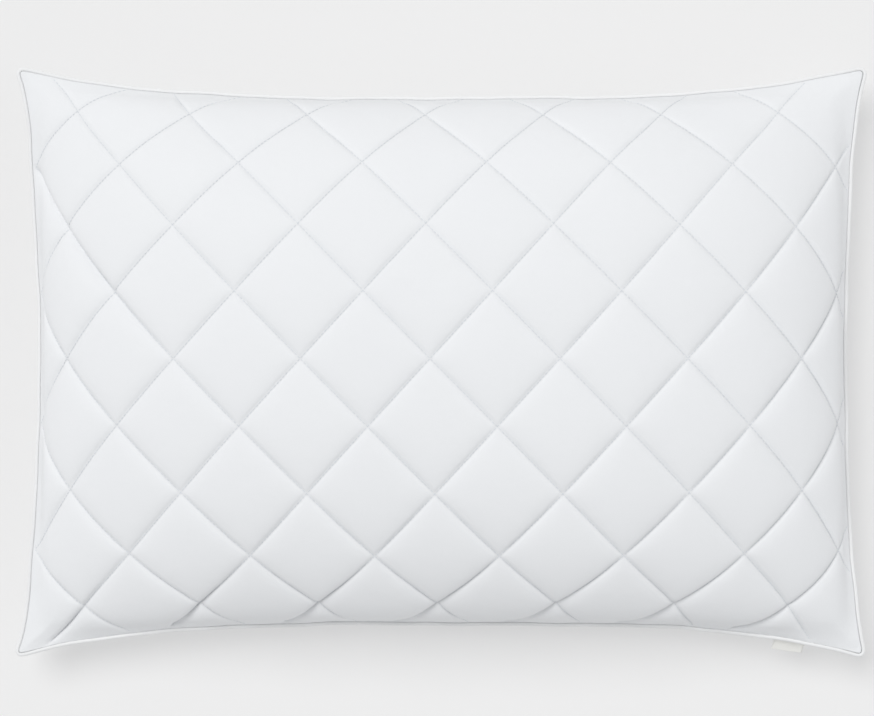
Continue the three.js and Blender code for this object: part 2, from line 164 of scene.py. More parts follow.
class Grid:
    """A grid over the flat panel whose cell corners fall on the stitch lines."""

    def __init__(self, steps):
        self.steps = steps
        self.columns, self.along = grid_lines(PANEL_LENGTH, DIAMOND_LENGTH, SHIFT_ALONG, steps)
        self.rows, self.across = grid_lines(PANEL_WIDTH, DIAMOND_WIDTH, SHIFT_ACROSS, steps)
        self.x, self.y = np.meshgrid(self.along, self.across, indexing="ij")
        self.shape = self.x.shape
        self.edge = np.minimum(PANEL_LENGTH / 2 - abs(self.x), PANEL_WIDTH / 2 - abs(self.y))

    def triangles(self):
        """Two triangles a cell, cut along the stitch line where one crosses the cell."""
        count = np.arange(self.x.size).reshape(self.shape)
        a, b = count[:-1, :-1], count[1:, :-1]
        c, d = count[1:, 1:], count[:-1, 1:]
        i, j = np.meshgrid(self.columns[:-1], self.rows[:-1], indexing="ij")
        to_rising = abs((i - j + self.steps / 2) % self.steps - self.steps / 2)
        to_falling = abs((i + j + 1 + self.steps / 2) % self.steps - self.steps / 2)
        rising = to_rising < to_falling
        first = np.where(rising[..., None], np.stack([a, b, c], -1), np.stack([a, b, d], -1))
        second = np.where(rising[..., None], np.stack([a, c, d], -1), np.stack([b, c, d], -1))
        return np.concatenate([first.reshape(-1, 3), second.reshape(-1, 3)])

    def ring(self):
        """The numbers of the border's points, counterclockwise seen from above."""
        count = np.arange(self.x.size).reshape(self.shape)
        return np.concatenate([count[:-1, 0], count[-1, :-1], count[:0:-1, -1], count[0, :0:-1]])


def nearest(places, among):
    """The numbers of the grid lines nearest to these places."""
    return np.abs(among[None] - places[:, None]).argmin(1)


fine = Grid(FINE_STEPS)
coarse = Grid(COARSE_STEPS)
coarse_in_fine = np.ix_(nearest(coarse.along, fine.along), nearest(coarse.across, fine.across))


def smooth_step(t):
    t = np.clip(t, 0, 1)
    return t * t * (3 - 2 * t)


def stitch_lines(x, y):
    """How far a place is from the rising and from the falling stitch lines, in half diamonds. Each
    line is at an even number."""
    along = (x - SHIFT_ALONG) / (DIAMOND_LENGTH / 2)
    across = (y - SHIFT_ACROSS) / (DIAMOND_WIDTH / 2)
    return along - across, along + across


HALF_LINE = 1 / math.hypot(2 / DIAMOND_LENGTH, 2 / DIAMOND_WIDTH)


def off_lines(x, y):
    """The distances from the nearest rising and falling stitch line, in millimetres. The first is
    above 0 to the lower right of its line, and the second to the upper right."""
    rising, falling = stitch_lines(x, y)
    off_rising = (rising - 2 * np.round(rising / 2)) * HALF_LINE
    off_falling = (falling - 2 * np.round(falling / 2)) * HALF_LINE
    return off_rising, off_falling


def puff(x, y):
    """0 on a stitch line, about 1 in the middle of a diamond: a round crown, pinched near the lines."""
    off_rising, off_falling = off_lines(x, y)
    crown, pinched = 1, 1
    for off in (off_rising, off_falling):
        crown = crown * abs(np.sin(math.pi * off / HALF_LINE / 2))
        pinched = pinched * (1 - np.exp(-abs(off) / PINCH_WIDTH))
    return CROWN_SHARE * crown**PUFF_ROUNDNESS + (1 - CROWN_SHARE) * pinched


# ---- The filled pillow -------------------------------------------------------------------------


def signed_power(t, power):
    return np.sign(t) * abs(t) ** power


def spread(t, amount, power):
    return t * (1 + amount * (1 - abs(t) ** power))


def shares(x, y):
    """Where a flat place lies between the middle of the sewn panel (0) and its seams (1 or -1), with
    the gathers pulled in."""
    pulled = np.maximum(abs(y) - PANEL_WIDTH / 2 + GATHER_REACH, 0) / GATHER_REACH
    return x / (SEWN_LENGTH / 2), (y + np.sign(y) * GATHERED_IN * pulled**2) / (SEWN_WIDTH / 2)


def seam_plane(x, y):
    """Where a place of the flat panel lies on the filled pillow, at the seam's height."""
    u, v = shares(x, y)
    u = u + SKEW * v * (1 - abs(u) ** SKEW_POWER) * (1 - abs(v) ** SKEW_POWER)
    widening = SPREAD_ALONG * (1 - abs(v) ** GATHER_POWER)
    end_flare = END_PULL_IN * abs(v) ** END_PULL_POWER * signed_power(u, FLARE_POWER)
    side_flare = SIDE_PULL_IN * abs(u) ** SIDE_PULL_POWER * signed_power(v, FLARE_POWER)
    out_x = (CORNER_X - END_PULL_IN) * spread(u, widening, SPREAD_ALONG_POWER) + end_flare
    out_y = (CORNER_Y - SIDE_PULL_IN) * spread(v, SPREAD_ACROSS, SPREAD_ACROSS_POWER) + side_flare
    droop = CORNER_DROOP * abs(u) ** SIDE_PULL_POWER * abs(v) ** END_PULL_POWER
    return np.stack([out_x, out_y, SEAM_HEIGHT - droop], -1)


def swell(x, y, side):
    """How far the filling pushes a panel off the seam's height."""
    u, v = shares(x, y)
    crown = (1 - abs(u) ** CROWN_POWER) * (1 - abs(v) ** CROWN_POWER)
    if side > 0:
        return CROWN_HEIGHT * crown
    return -BELLY_DEPTH * (1 - (1 - crown) ** 2)


def tuck(place, length, other, other_length):
    """How far a flank is drawn in at a place along one side of the panel; other is its place along
    the other side. The seam and the corners stay."""
    from_seam = length / 2 - abs(place)
    reach = (1 - np.exp(-((from_seam / TUCK_START) ** 2))) * np.exp(-((from_seam / TUCK_REACH) ** 2))
    return -np.sign(place) * TUCK * reach * (1 - (2 * abs(other) / other_length) ** 3)


def dome(grid, side):
    points = seam_plane(grid.x, grid.y)
    points[..., 0] += tuck(grid.x, PANEL_LENGTH, grid.y, PANEL_WIDTH)
    points[..., 1] += tuck(grid.y, PANEL_WIDTH, grid.x, PANEL_LENGTH)
    points[..., 2] += swell(grid.x, grid.y, side)
    return points


def normals_of(points, side):
    along = np.gradient(points, axis=0)
    across = np.gradient(points, axis=1)
    normals = side * np.cross(along, across)
    return normals / np.linalg.norm(normals, axis=-1, keepdims=True)


# ---- The cloth simulation ----------------------------------------------------------------------

SIMULATED_FRAMES = 20
PRESSURE = 4
MOST_MOVED = 9
SMOOTHING_PASSES = 6


def simulated_moves():
    """Blows the two sewn panels up as cloth and returns how far each coarse grid point moves, for the
    upper and the lower panel. The seam stays where it is."""
    size = coarse.x.size
    ring = coarse.ring()
    start = [dome(coarse, side).reshape(-1, 3) for side in (1, -1)]
    u, v = shares(coarse.x, coarse.y)
    flat = np.stack([u * SEWN_LENGTH / 2, v * SEWN_WIDTH / 2, 0 * u], -1).reshape(-1, 3)
    shared = np.arange(size) + size
    shared[ring] = ring
    inner = np.setdiff1d(np.arange(size), ring)
    number = np.zeros(2 * size, int)
    number[:size] = np.arange(size)
    number[size + inner] = size + np.arange(inner.size)
    lower = number[shared]
    triangles = coarse.triangles()
    points = np.concatenate([start[0], start[1][inner]])
    rest = np.concatenate([flat, flat[inner]])
    faces = np.concatenate([triangles, lower[triangles][:, ::-1]])

    mesh = bpy.data.meshes.new("blown")
    mesh.from_pydata((points * MM).tolist(), [], faces.tolist())
    blown = bpy.data.objects.new("blown", mesh)
    bpy.context.scene.collection.objects.link(blown)
    held = blown.vertex_groups.new(name="seam")
    held.add(ring.tolist(), 1, "REPLACE")
    blown.shape_key_add(name="Basis")
    sewn = blown.shape_key_add(name="sewn flat")
    sewn.data.foreach_set("co", (rest * MM).astype(np.float32).ravel())
    sewn.value = 0

    cloth = blown.modifiers.new("Cloth", "CLOTH")
    cloth.point_cache.frame_start = 1
    cloth.point_cache.frame_end = SIMULATED_FRAMES
    settings = cloth.settings
    settings.quality = 6
    settings.mass = 0.3
    settings.tension_stiffness = 25
    settings.compression_stiffness = 25
    settings.shear_stiffness = 15
    settings.bending_stiffness = 6
    settings.rest_shape_key = sewn
    settings.vertex_group_mass = "seam"
    settings.use_pressure = True
    settings.uniform_pressure_force = PRESSURE
    settings.effector_weights.gravity = 0
    for number_of_frame in range(1, SIMULATED_FRAMES + 1):
        bpy.context.scene.frame_set(number_of_frame)
    evaluated = blown.evaluated_get(bpy.context.evaluated_depsgraph_get())
    result = np.zeros(3 * len(points), np.float32)
    evaluated.data.vertices.foreach_get("co", result)
    result = result.reshape(-1, 3) / MM
    bpy.data.objects.remove(blown)
    bpy.data.meshes.remove(mesh)
    bpy.context.scene.frame_set(1)

    moves = []
    for began, ended in ((start[0], result[:size]), (start[1], result[lower])):
        moved = ended - began
        length = np.linalg.norm(moved, axis=1, keepdims=True)
        moved *= MOST_MOVED * np.tanh(length / MOST_MOVED) / np.maximum(length, 1e-6)
        moves.append(moved.reshape(*coarse.shape, 3))
    return moves


def refined(field):
    """A field over the coarse grid, carried over to the fine grid and smoothed there."""
    parts = []
    for k in range(field.shape[-1]):
        wide = np.stack([np.interp(fine.along, coarse.along, row) for row in field[..., k].T], 1)
        parts.append(np.stack([np.interp(fine.across, coarse.across, row) for row in wide]))
    made = np.stack(parts, -1)
    for _ in range(SMOOTHING_PASSES):
        made[1:-1] = (made[:-2] + 2 * made[1:-1] + made[2:]) / 4
        made[:, 1:-1] = (made[:, :-2] + 2 * made[:, 1:-1] + made[:, 2:]) / 4
    return made


# ---- The seam ----------------------------------------------------------------------------------

SEAM_SMOOTHING = 2.2  # how wide the seam's corners are rounded, in steps of the fine grid
SMOOTHING_REACH = 12
SEAM_REACH = 22  # how far into a panel that goes on
CORNER_POINT = 14  # how sharply a corner is drawn out
# How far each corner is drawn out along and across; a corner is named by its signs (right, back).
CORNERS_OUT = {(-1, 1): (4.6, 2.4), (1, 1): (3.2, 2.4), (-1, -1): (6, 4.4), (1, -1): (2.2, 4.6)}
WAVES = ((9, 0.35, 0.3), (17, 0.3, 0.3), (31, 0.2, 0.2), (53, 0.12, 0.12))  # turns, sideways, upwards


def seam_ring():
    """The seam's middle line, counterclockwise: the CAD's, with its corners drawn out and rounded and a
    slight waver."""
    ring = fine.ring()
    path = seam_plane(fine.x, fine.y).reshape(-1, 3)[ring]
    at_x = fine.x.ravel()[ring] / (PANEL_LENGTH / 2)
    at_y = fine.y.ravel()[ring] / (PANEL_WIDTH / 2)
    for (right, back), (out_x, out_y) in CORNERS_OUT.items():
        near = (np.maximum(right * at_x, 0) * np.maximum(back * at_y, 0)) ** CORNER_POINT
        path[:, 0] += right * out_x * near
        path[:, 1] += back * out_y * near
    away = np.arange(-SMOOTHING_REACH, SMOOTHING_REACH + 1)
    weights = np.exp(-0.5 * (away / SEAM_SMOOTHING) ** 2)
    weights /= weights.sum()
    smooth = sum(w * np.roll(path, k, axis=0) for k, w in zip(away, weights))
    tangent = np.roll(smooth, -1, axis=0) - np.roll(smooth, 1, axis=0)
    outward = np.stack([tangent[:, 1], -tangent[:, 0], 0 * tangent[:, 0]], -1)
    outward /= np.linalg.norm(outward, axis=1, keepdims=True)
    turn = 2 * math.pi * np.arange(len(ring)) / len(ring)
    for turns, sideways, upwards in WAVES:
        smooth += outward * (sideways * np.sin(turns * turn + rng.uniform(0, 6)))[:, None]
        smooth[:, 2] += upwards * np.sin(turns * turn + rng.uniform(0, 6))
    return ring, smooth, outward


def border_moves(ring, path):
    """The seam's own moves, faded out over the panel next to it."""
    moved = np.zeros((fine.x.size, 3))
    moved[ring] = path - seam_plane(fine.x, fine.y).reshape(-1, 3)[ring]
    moved = moved.reshape(*fine.shape, 3)
    near = [
        smooth_step(1 - (fine.x + PANEL_LENGTH / 2) / SEAM_REACH)[..., None],
        smooth_step(1 - (PANEL_LENGTH / 2 - fine.x) / SEAM_REACH)[..., None],
        smooth_step(1 - (fine.y + PANEL_WIDTH / 2) / SEAM_REACH)[..., None],
        smooth_step(1 - (PANEL_WIDTH / 2 - fine.y) / SEAM_REACH)[..., None],
    ]
    total = np.zeros_like(moved)
    for near_end, column in ((near[0], 0), (near[1], -1)):
        total += near_end * moved[column][None]
    for near_side, row in ((near[2], 0), (near[3], -1)):
        total += near_side * moved[:, row][:, None]
        for near_end, column in ((near[0], 0), (near[1], -1)):
            total -= near_side * near_end * moved[column, row]
    return total


# ---- Making meshes -----------------------------------------------------------------------------


def solid(name, points, faces, uv=None, smooth=True):
    """A mesh object from points in millimetres. uv holds a flat place in metres for each point."""
    mesh = bpy.data.meshes.new(name)
    mesh.from_pydata((np.asarray(points) * MM).tolist(), [], np.asarray(faces).tolist())
    if uv is not None:
        corners = np.zeros(len(mesh.loops), int)
        mesh.loops.foreach_get("vertex_index", corners)
        layer = mesh.uv_layers.new(name="cloth")
        layer.uv.foreach_set("vector", (np.asarray(uv)[corners] * MM).astype(np.float32).ravel())
    mesh.polygons.foreach_set("use_smooth", [smooth] * len(mesh.polygons))
    mesh.update()
    made = bpy.data.objects.new(name, mesh)
    bpy.context.scene.collection.objects.link(made)
    return made


def closed_sheet(grid, upper, lower):
    """Points and triangles of the closed sheet between two surfaces over a grid."""
    size = grid.x.size
    triangles = grid.triangles()
    ring = grid.ring()
    after = np.roll(ring, -1)
    wall = np.concatenate([
        np.stack([ring, ring + size, after + size], -1),
        np.stack([ring, after + size, after], -1),
    ])
    points = np.concatenate([upper.reshape(-1, 3), lower.reshape(-1, 3)])
    return points, np.concatenate([triangles, triangles[:, ::-1] + size, wall])


def swept(path, outward, section):
    """Points and faces of a section swept round a closed path; section gives (out, up) for each place."""
    count = len(path)
    rings = np.stack([
        path + outward * np.asarray(out)[..., None] + np.asarray(up)[..., None] * np.array([0, 0, 1])
        for out, up in section
    ], 1)
    sides = rings.shape[1]
    here = (np.arange(count) * sides)[:, None] + np.arange(sides)[None]
    there = np.roll(here, -1, axis=0)
    quads = np.stack([here, there, np.roll(there, -1, axis=1), np.roll(here, -1, axis=1)], -1)
    travelled = np.concatenate([[0], np.cumsum(np.linalg.norm(np.diff(path, axis=0), axis=1))])
    uv = np.stack(np.broadcast_arrays(travelled[:, None], np.arange(sides)[None] * 1.0), -1)
    return rings.reshape(-1, 3), quads.reshape(-1, 4), uv.reshape(-1, 2)


# ---- The panels --------------------------------------------------------------------------------

CREASE_LENGTH = 64  # how far the deep creases reach in from the front edge
CREASE_DEPTH = 7
LONG_CREASE_LINE = -4  # the falling stitch line that is creased at its left end
LONG_CREASE_DEPTH = 4.5
LONG_CREASE_START = 205  # how far left of the middle it starts
LONG_CREASE_LENGTH = 70  # and over what length it reaches its depth
CREASE_SIDES = (2, 4)  # how far a crease fades out on its upper left and on its lower right
LONG_CREASE_SIDES = (8, 2.5)  # on the lower left and on the upper right
SEAM_FADE = 7  # how near the seam the creases and the grooves end
CORNER_FADE_POWER = 4  # the creases also end towards the corners
THREAD_WIDTH = 1.3  # of the narrow groove that the thread pulls into the cloth
THREAD_DEPTH = 0.9


def crease_depth(x, y, edge):
    """How deep the filled pillow folds in along its stitch lines: near the front edge along every
    rising line, and at the left end of one falling line."""
    off_rising, off_falling = off_lines(x, y)
    near_front = smooth_step(1 - (y + PANEL_WIDTH / 2) / CREASE_LENGTH)
    fade = np.where(off_rising < 0, *CREASE_SIDES)
    front = CREASE_DEPTH * near_front * np.exp(-abs(off_rising) / fade)
    on_line = abs(stitch_lines(x, y)[1] - LONG_CREASE_LINE) < 1
    at_left = smooth_step((-x - LONG_CREASE_START) / LONG_CREASE_LENGTH)
    fade = np.where(off_falling <= 0, *LONG_CREASE_SIDES)
    left = LONG_CREASE_DEPTH * on_line * at_left * np.exp(-abs(off_falling) / fade)
    in_corner = abs(2 * x / PANEL_LENGTH * (2 * y / PANEL_WIDTH)) ** CORNER_FADE_POWER
    return (front + left) * smooth_step(edge / SEAM_FADE) * (1 - in_corner)


def face_level(x, y, edge, side):
    """How far the face fabric lies above the surface against the filling."""
    off_rising, off_falling = off_lines(x, y)
    standoff = TOP_STANDOFF if side > 0 else BOTTOM_STANDOFF
    level = EDGE_LEVEL + (standoff + STITCHED_LEVEL - EDGE_LEVEL) * smooth_step(edge / LEVEL_BLEND)
    height = PUFF_HEIGHT * (1 - PUFF_FLATTER * smooth_step(y / (PANEL_WIDTH / 2)))
    level = level + height * puff(x, y) * (1 - np.exp(-((edge / PUFF_FADE) ** 2)))
    at_thread = np.exp(-np.minimum(abs(off_rising), abs(off_falling)) / THREAD_WIDTH)
    return level - THREAD_DEPTH * at_thread * smooth_step(edge / SEAM_FADE)


class Panel:
    """One panel of the cover: the surface against the filling, its normals and its face fabric."""

    def __init__(self, side, moves, seam_moves):
        self.side = side
        self.base = dome(fine, side) + moves + seam_moves
        self.normals = normals_of(self.base, side)
        if side > 0:
            depth = crease_depth(fine.x, fine.y, fine.edge)
            self.base -= depth[..., None] * self.normals
        self.level = face_level(fine.x, fine.y, fine.edge, side)
        self.face = self.at_level(self.level)

    def at_level(self, level, floor=0):
        """The points at a level of the panel. The floor presses the lower panel flat."""
        upright = np.array([0, 0, self.side]) - self.normals
        near_seam = smooth_step(1 - fine.edge / EDGE_BLEND)[..., None]
        points = self.base + (self.normals + near_seam * upright) * np.asarray(level)[..., None]
        if self.side < 0:
            points[..., 2] = np.maximum(points[..., 2], floor)
        return points

    def ply(self, outer, inner, floor):
        """A closed layer of the panel over the coarse grid, set back from the seam."""
        surfaces = []
        for level, lowest in ((outer, floor), (inner, floor + PRESSED_PLY)):
            surfaces.append((self.at_level(level, lowest) + self.set_in())[coarse_in_fine])
        if self.side > 0:
            return closed_sheet(coarse, *surfaces)
        return closed_sheet(coarse, *surfaces[::-1])

    def set_in(self):
        """The move that takes a ply's border inwards."""
        near = smooth_step(1 - fine.edge / (2 * EDGE_BLEND))[..., None]
        out_x = np.sign(fine.x) * (PANEL_LENGTH / 2 - abs(fine.x) < EDGE_BLEND)
        out_y = np.sign(fine.y) * (PANEL_WIDTH / 2 - abs(fine.y) < EDGE_BLEND)
        return -PLY_SETBACK * near * np.stack([out_x, out_y, 0 * fine.x], -1)


def face_fabric(name, panel, path, outward):
    """The face fabric, with its allowance turned in along the seam."""
    ring = fine.ring()
    points = [panel.face.reshape(-1, 3)]
    flat = [np.stack([fine.x, fine.y], -1).reshape(-1, 2)]
    faces = [fine.triangles() if panel.side > 0 else fine.triangles()[:, ::-1]]
    before = ring
    total = len(points[0])
    for inwards, up in ALLOWANCE:
        points.append(path - outward * inwards + np.array([0, 0, panel.side * up]))
        flat.append(flat[0][ring] + outward[:, :2] * inwards)
        here = total + np.arange(len(ring))
        total += len(ring)
        quads = [before, here, np.roll(here, -1), np.roll(before, -1)]
        strip = np.concatenate([
            np.stack([quads[0], quads[1], quads[2]], -1),
            np.stack([quads[0], quads[2], quads[3]], -1),
        ])
        faces.append(strip if panel.side > 0 else strip[:, ::-1])
        before = here
    return solid(name, np.concatenate(points), np.concatenate(faces), np.concatenate(flat))


# ---- Stitches ----------------------------------------------------------------------------------

STITCH_PITCH = 3.4
STITCH_LENGTH = 2.7
STITCH_RADIUS = 0.24
STITCH_SIDES = 5
STITCH_LINES = 8  # on either side of the middle one, in each direction
STITCH_LOWEST = 0.02  # over the floor
# Along a stitch: the place as a share of its length, the share of its radius, and its height.
STITCH_STATIONS = (
    (-0.5, 0.5, -0.35),
    (-0.3, 0.9, 0.05),
    (0, 1, 0.14),
    (0.3, 0.9, 0.05),
    (0.5, 0.5, -0.35),
)


def sampled(field, x, y):
    """A fine grid's field at any flat places."""
    a = np.clip(np.searchsorted(fine.along, x) - 1, 0, len(fine.along) - 2)
    b = np.clip(np.searchsorted(fine.across, y) - 1, 0, len(fine.across) - 2)
    s = ((x - fine.along[a]) / (fine.along[a + 1] - fine.along[a]))[..., None]
    t = ((y - fine.across[b]) / (fine.across[b + 1] - fine.across[b]))[..., None]
    front = field[a, b] * (1 - s) + field[a + 1, b] * s
    back = field[a, b + 1] * (1 - s) + field[a + 1, b + 1] * s
    return front * (1 - t) + back * t


def stitch_places():
    """The flat middle of every stitch, and the unit direction of its line."""
    middles, directions = [], []
    reach = math.hypot(PANEL_LENGTH, PANEL_WIDTH)
    diagonal = math.hypot(DIAMOND_LENGTH, DIAMOND_WIDTH)
    for slope in (1, -1):
        direction = np.array([DIAMOND_LENGTH, slope * DIAMOND_WIDTH]) / diagonal
        for line in range(-STITCH_LINES, STITCH_LINES + 1):
            through = np.array([SHIFT_ALONG + line * DIAMOND_LENGTH, SHIFT_ACROSS])
            steps = np.arange(-reach / 2, reach / 2, STITCH_PITCH)[:, None]
            middles.append(through + direction * steps)
            directions.append(np.broadcast_to(direction, middles[-1].shape))
    middles = np.concatenate(middles)
    directions = np.concatenate(directions)
    x, y = middles.T
    inside = (abs(x) < PANEL_LENGTH / 2 - STITCH_PITCH) & (abs(y) < PANEL_WIDTH / 2 - STITCH_PITCH)
    return middles[inside], directions[inside]


def stitches(name, panel):
    """Every stitch of one panel: a short bowed length of thread that dives into the cloth at its ends."""
    middles, directions = stitch_places()
    turn = 2 * math.pi * np.arange(STITCH_SIDES) / STITCH_SIDES
    ahead = sampled(panel.face, *(middles + directions).T)
    behind = sampled(panel.face, *(middles - directions).T)
    along = ahead - behind
    along /= np.linalg.norm(along, axis=1, keepdims=True)
    up = sampled(panel.normals, *middles.T)
    across = np.cross(along, up)
    across /= np.linalg.norm(across, axis=1, keepdims=True)
    rings = []
    for place, width, height in STITCH_STATIONS:
        at = middles + directions * place * STITCH_LENGTH
        centre = sampled(panel.face, *at.T) + up * height
        radius = STITCH_RADIUS * width
        rings.append(np.stack([
            centre + radius * (math.cos(t) * across + math.sin(t) * up) for t in turn
        ], 1))
    points = np.stack(rings, 1)
    if panel.side < 0:
        points[..., 2] = np.maximum(points[..., 2], STITCH_LOWEST)
    count = len(middles)
    start = np.arange(count)[:, None, None] * len(STITCH_STATIONS) * STITCH_SIDES
    ring = np.arange(len(STITCH_STATIONS) - 1)[None, :, None] * STITCH_SIDES
    a = start + ring + np.arange(STITCH_SIDES)
    b = start + ring + (np.arange(STITCH_SIDES) + 1) % STITCH_SIDES
    quads = np.stack([a, b, b + STITCH_SIDES, a + STITCH_SIDES], -1).reshape(-1, 4)
    return solid(name, points.reshape(-1, 3), quads)


# ---- Building the pillow -----------------------------------------------------------------------

simulated = simulated_moves()

ring, path, outward = seam_ring()
seam_moves = border_moves(ring, path + SNUG * outward)
upper = Panel(1, refined(simulated[0]), seam_moves)
lower = Panel(-1, refined(simulated[1]), seam_moves)


# ---- Materials ---------------------------------------------------------------------------------


class Finish:
    """A node material on a Principled shader, with short calls for the nodes it is built from."""

    def __init__(self, name, color, roughness, sheen=0.0, sheen_roughness=0.5):
        self.material = bpy.data.materials.new(name)
        self.material.use_nodes = True
        self.nodes = self.material.node_tree.nodes
        self.links = self.material.node_tree.links
        self.shader = self.nodes["Principled BSDF"]
        self.shader.inputs["Base Color"].default_value = (*color, 1)
        self.shader.inputs["Roughness"].default_value = roughness
        self.shader.inputs["Sheen Weight"].default_value = sheen
        self.shader.inputs["Sheen Roughness"].default_value = sheen_roughness
        self.shader.inputs["Specular IOR Level"].default_value = 0.25
        self.color = color

    def place(self, layer=None, scale=(1, 1, 1), turn=0):
        """Coordinates: the cloth's own flat places, or the object's."""
        if layer:
            source = self.nodes.new("ShaderNodeUVMap")
            source.uv_map = layer
            socket = source.outputs["UV"]
        else:
            source = self.nodes.new("ShaderNodeTexCoord")
            socket = source.outputs["Object"]
        mapping = self.nodes.new("ShaderNodeMapping")
        mapping.inputs["Scale"].default_value = scale
        mapping.inputs["Rotation"].default_value = (0, 0, turn)
        self.links.new(socket, mapping.inputs["Vector"])
        return mapping.outputs["Vector"]

    def noise(self, at, scale, detail=2.0, roughness=0.5):
        node = self.nodes.new("ShaderNodeTexNoise")
        node.inputs["Scale"].default_value = scale
        node.inputs["Detail"].default_value = detail
        node.inputs["Roughness"].default_value = roughness
        self.links.new(at, node.inputs["Vector"])
        return node.outputs["Fac"]

    def wave(self, at, direction, pitch, distortion=0.0, detail_scale=1.0):
        """Stripes a pitch apart, in metres."""
        node = self.nodes.new("ShaderNodeTexWave")
        node.bands_direction = direction
        node.inputs["Scale"].default_value = math.pi / (10 * pitch)
        node.inputs["Distortion"].default_value = distortion
        node.inputs["Detail Scale"].default_value = detail_scale
        self.links.new(at, node.inputs["Vector"])
        return node.outputs["Fac"]

    def math(self, operation, a, b):
        node = self.nodes.new("ShaderNodeMath")
        node.operation = operation
        for socket, value in zip(node.inputs, (a, b)):
            if isinstance(value, (int, float)):
                socket.default_value = value
            else:
                self.links.new(value, socket)
        return node.outputs["Value"]

    def tint(self, factor, other):
        """Mixes the base colour towards another one."""
        node = self.nodes.new("ShaderNodeMix")
        node.data_type = "RGBA"
        node.inputs["A"].default_value = (*self.color, 1)
        node.inputs["B"].default_value = (*other, 1)
        self.links.new(factor, node.inputs["Factor"])
        self.links.new(node.outputs["Result"], self.shader.inputs["Base Color"])

    def rough(self, factor, low, high):
        node = self.nodes.new("ShaderNodeMapRange")
        node.inputs["To Min"].default_value = low
        node.inputs["To Max"].default_value = high
        self.links.new(factor, node.inputs["Value"])
        self.links.new(node.outputs["Result"], self.shader.inputs["Roughness"])

    def bump(self, height, distance, strength=1.0):
        """Bumps stack: each call's goes over the one before. distance is in metres."""
        node = self.nodes.new("ShaderNodeBump")
        node.inputs["Strength"].default_value = strength
        node.inputs["Distance"].default_value = distance
        self.links.new(height, node.inputs["Height"])
        before = self.shader.inputs["Normal"].links
        if before:
            self.links.new(before[0].from_socket, node.inputs["Normal"])
        self.links.new(node.outputs["Normal"], self.shader.inputs["Normal"])

    def weave(self, at, pitch, depth):
        """Plain weave: warp and weft bands that pass over each other in turn."""
        warp = self.wave(at, "X", pitch)
        weft = self.wave(at, "Y", pitch)
        crossing = self.math("MULTIPLY", warp, weft)
        either = self.math("MAXIMUM", warp, weft)
        self.bump(self.math("SUBTRACT", either, crossing), depth)
        return crossing


def cotton(name, color=(0.852, 0.86, 0.872), turn=0.0):
    """The fine white cotton of the face and the piping."""
    finish = Finish(name, color, 0.82, sheen=0.12, sheen_roughness=0.45)
    flat = finish.place("cloth", turn=turn)
    whole = finish.place()
    crossing = finish.weave(flat, 0.00045, 0.00004)
    yarns = finish.noise(finish.place("cloth", scale=(1, 12, 1), turn=turn), 260, detail=3)
    finish.bump(yarns, 0.00006)
    creases = finish.noise(whole, 34, detail=3, roughness=0.55)
    finish.bump(creases, 0.0006)
    mottle = finish.math("ADD", finish.noise(whole, 12, detail=2), finish.math("MULTIPLY", crossing, 0.2))
    finish.tint(mottle, tuple(c * 0.975 for c in color))
    finish.rough(yarns, 0.74, 0.9)
    return finish.material


def wadding_finish(name):
    finish = Finish(name, (0.84, 0.845, 0.84), 0.95, sheen=0.3, sheen_roughness=0.7)
    fibres = finish.noise(finish.place(scale=(1, 5, 2)), 420, detail=5, roughness=0.7)
    clumps = finish.noise(finish.place(), 60, detail=4)
    finish.bump(fibres, 0.0006)
    finish.bump(clumps, 0.0015)
    finish.tint(clumps, (0.79, 0.79, 0.78))
    finish.rough(fibres, 0.88, 1.0)
    return finish.material


def backing_finish(name):
    """Thin bonded sheet: fibres, and rows of small pressed dots."""
    finish = Finish(name, (0.80, 0.79, 0.76), 0.9)
    flat = finish.place("cloth")
    dots = finish.math("MULTIPLY", finish.wave(flat, "X", 0.003), finish.wave(flat, "Y", 0.003))
    fibres = finish.noise(flat, 900, detail=4, roughness=0.7)
    finish.bump(dots, 0.0002)
    finish.bump(fibres, 0.0001)
    finish.tint(fibres, (0.75, 0.74, 0.70))
    finish.rough(dots, 0.95, 0.8)
    return finish.material


def fibre_finish(name):
    finish = Finish(name, (0.86, 0.865, 0.86), 0.97, sheen=0.4, sheen_roughness=0.8)
    tufts = finish.noise(finish.place(), 45, detail=5, roughness=0.6)
    strands = finish.noise(finish.place(scale=(4, 1, 2)), 500, detail=5, roughness=0.75)
    finish.bump(tufts, 0.004)
    finish.bump(strands, 0.0008)
    finish.tint(tufts, (0.80, 0.80, 0.79))
    finish.rough(strands, 0.9, 1.0)
    return finish.material


def thread_finish(name, color):
    """Spun thread, with the twist of its strands."""
    finish = Finish(name, color, 0.6, sheen=0.1)
    strands = finish.wave(finish.place(), "DIAGONAL", 0.0004, distortion=1.5)
    lint = finish.noise(finish.place(), 1500, detail=3)
    finish.bump(strands, 0.00005)
    finish.tint(lint, tuple(c * 0.94 for c in color))
    finish.rough(lint, 0.5, 0.75)
    return finish.material


def cord_finish(name):
    finish = Finish(name, (0.80, 0.79, 0.77), 0.9)
    strands = finish.wave(finish.place(), "DIAGONAL", 0.0012, distortion=0.8)
    lint = finish.noise(finish.place(), 900, detail=4)
    finish.bump(strands, 0.0003)
    finish.bump(lint, 0.0001)
    finish.tint(lint, (0.74, 0.73, 0.70))
    finish.rough(lint, 0.8, 1.0)
    return finish.material


